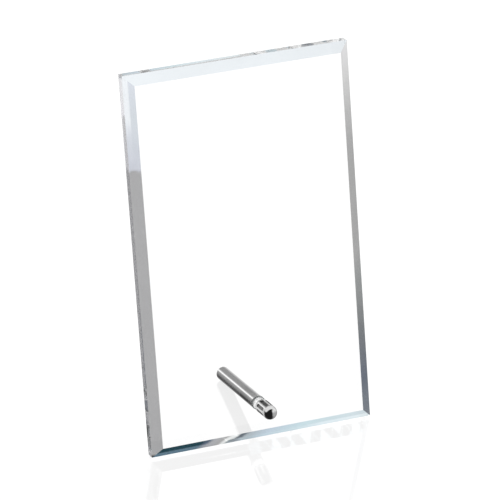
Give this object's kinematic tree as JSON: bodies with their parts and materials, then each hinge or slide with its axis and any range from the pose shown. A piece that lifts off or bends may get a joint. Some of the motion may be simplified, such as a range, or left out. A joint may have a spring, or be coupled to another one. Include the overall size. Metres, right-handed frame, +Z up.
{
  "type": "bevelled glass award on a pin",
  "caption": "Clear rectangular glass plaque with a bevelled front edge, leaning back on a steel pin that passes through a drilled hole low in its middle.",
  "frame": {"origin": "on the table, at the middle of the object's box seen from above", "axes": "+Z up, +Y to the rear, the way the plaque leans, and +X to the right seen from the front"},
  "size_m": [0.13, 0.08, 0.212],
  "materials": {
    "clear_glass": "polished low-iron glass",
    "clear_plastic": "clear nylon",
    "plain_steel": "rolled thread, plain",
    "polished_steel": "turned and polished"
  },
  "bodies": {
    "plaque": {"glass_plaque": "clear_glass", "hole_bush": "clear_plastic", "rear_washer": "clear_plastic", "support_rod": "polished_steel"},
    "loose_washer": {"front_washer": "clear_plastic"},
    "cap": {"front_cap": "polished_steel", "threaded_stud": "plain_steel"}
  },
  "joints": [
    {"name": "cap_travel", "type": "slide", "parent": "plaque", "child": "loose_washer", "axis": [0, -0.9659, 0.2588], "range_m": [0, 0.0098]},
    {"name": "cap_turn", "type": "hinge", "parent": "loose_washer", "child": "cap", "pos_m": [0, -0.02584, 0.02103], "axis": [0, -0.9659, 0.2588], "range_deg": [0, 5040]}
  ],
  "couplings": [
    {"joint": "cap_turn", "follows": "cap_travel", "rad_per_m": 8976}
  ]
}
